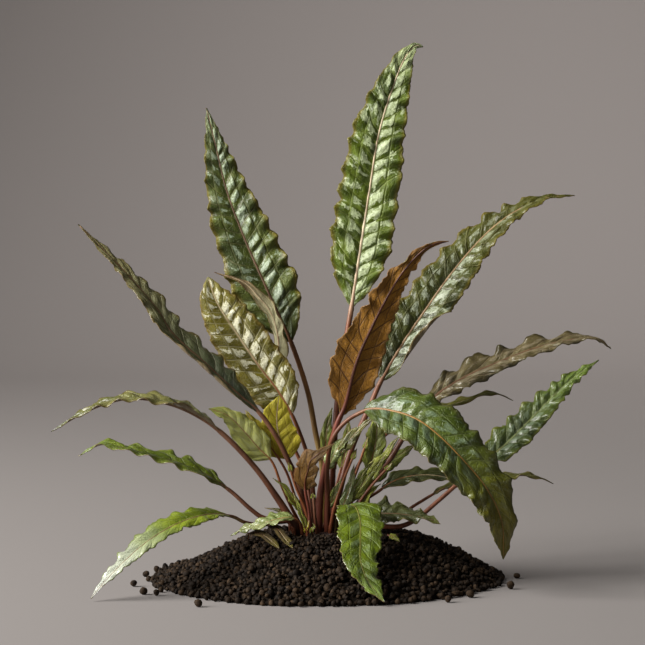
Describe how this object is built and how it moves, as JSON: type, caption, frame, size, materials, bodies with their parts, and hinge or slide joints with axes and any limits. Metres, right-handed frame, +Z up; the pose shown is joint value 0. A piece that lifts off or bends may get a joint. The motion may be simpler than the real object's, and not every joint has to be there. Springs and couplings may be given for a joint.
{
  "type": "cryptocoryne undulata plant",
  "caption": "Rosette of long ruffled green, olive and copper leaves on brown stalks, rooted in a low round heap of dark soil granules.",
  "frame": {"origin": "middle of the flat underside of the soil heap, on the floor", "axes": "+Z up, front towards -Y as pictured, +X to the right"},
  "size_m": [0.2321, 0.1465, 0.2258],
  "materials": {
    "bright_green": "glossy wet leaf",
    "dark_green": "glossy wet leaf",
    "olive": "glossy leaf",
    "grey_green": "satin leaf",
    "yellow": "satin leaf",
    "copper": "satin leaf",
    "crown_bark": "matt fibrous",
    "soil": "matt baked clay"
  },
  "bodies": {
    "root": {"soil_heap": "soil", "crown": "crown_bark", "leaf_tallest": "bright_green", "leaf_tall_left": "dark_green", "leaf_broad_olive": "olive", "leaf_behind_left": "olive", "leaf_arch_left": "grey_green", "leaf_long_left": "olive", "leaf_middle_left": "bright_green", "leaf_floor_left": "bright_green", "leaf_pale_low": "grey_green", "leaf_olive_small": "olive", "leaf_yellow_left": "yellow", "leaf_yellow_right": "yellow", "leaf_copper": "copper", "leaf_upper_right": "dark_green", "leaf_brown_right": "olive", "leaf_lower_right": "dark_green", "leaf_big_right": "dark_green", "leaf_back_right": "olive", "leaf_grey_right": "grey_green", "leaf_hidden_right": "olive", "leaf_front": "bright_green", "leaf_dark_right": "grey_green", "leaf_copper_small": "copper", "leaf_inner_right": "dark_green", "leaf_inner_far": "bright_green", "leaf_inner_narrow": "bright_green", "leaf_inner_dark": "dark_green", "leaf_inner_sprout": "bright_green", "leaf_inner_back": "grey_green", "grain_01": "soil", "grain_02": "soil", "grain_03": "soil", "grain_04": "soil", "grain_05": "soil", "grain_06": "soil", "grain_07": "soil", "grain_08": "soil", "grain_09": "soil", "grain_10": "soil"}
  },
  "joints": []
}
